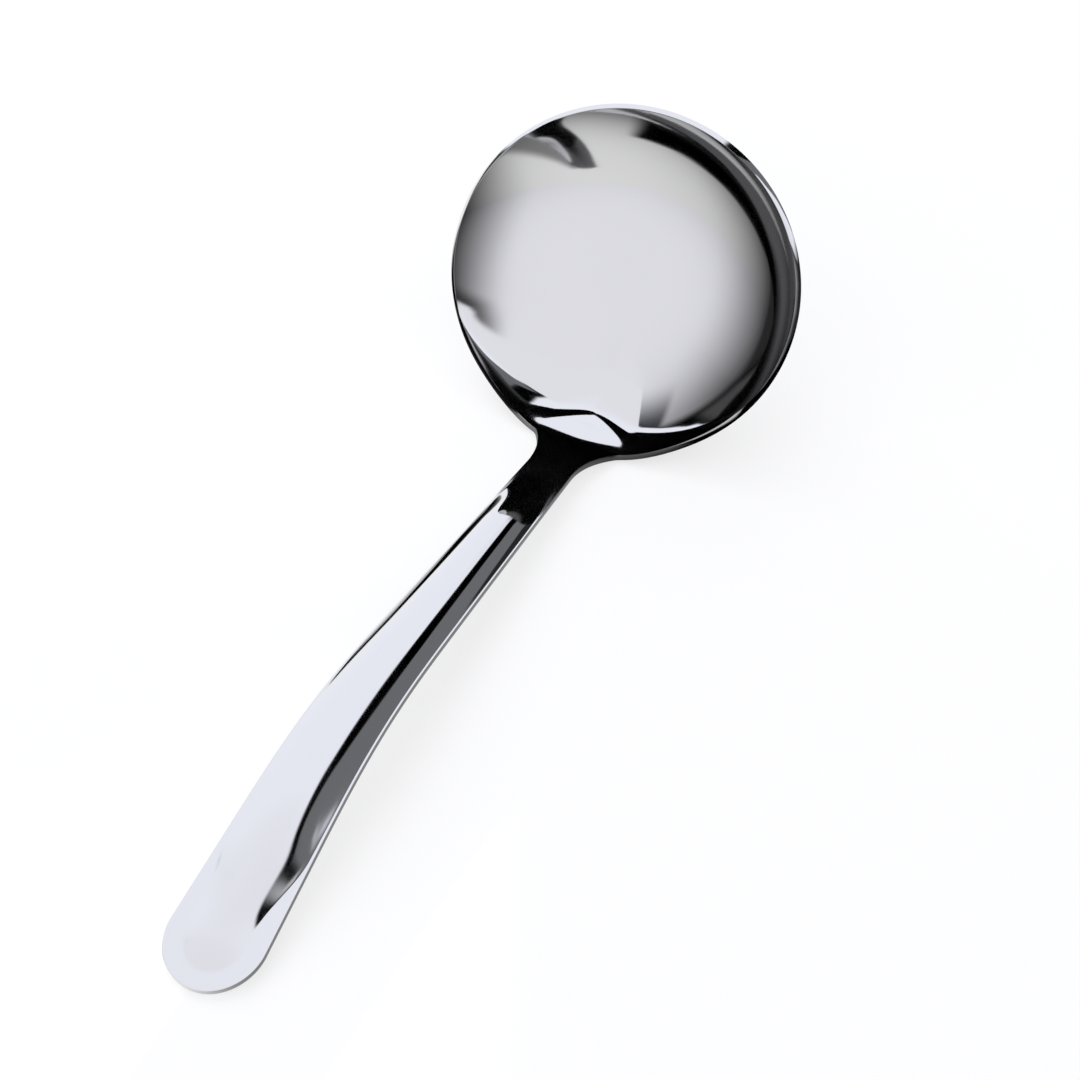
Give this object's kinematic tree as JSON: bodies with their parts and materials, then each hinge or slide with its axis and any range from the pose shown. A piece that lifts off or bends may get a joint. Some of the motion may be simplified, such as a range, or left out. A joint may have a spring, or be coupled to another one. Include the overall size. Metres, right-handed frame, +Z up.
{
  "type": "serving ladle",
  "caption": "Serving ladle with a shallow oval bowl and a domed, gently bent handle, pressed from polished stainless steel sheet.",
  "frame": {"origin": "on the table, under the middle of the length and width of the ladle as it lies on the wall of its bowl and the tip of its handle", "axes": "+X along the table towards the tip of the handle, +Z up from the table, +Y across the ladle; the ladle is its own mirror image in the XZ plane"},
  "size_m": [0.227, 0.0884, 0.066],
  "materials": {
    "polished_steel": "mirror-polished stainless steel"
  },
  "bodies": {
    "root": {"bowl": "polished_steel", "handle": "polished_steel"}
  },
  "joints": []
}
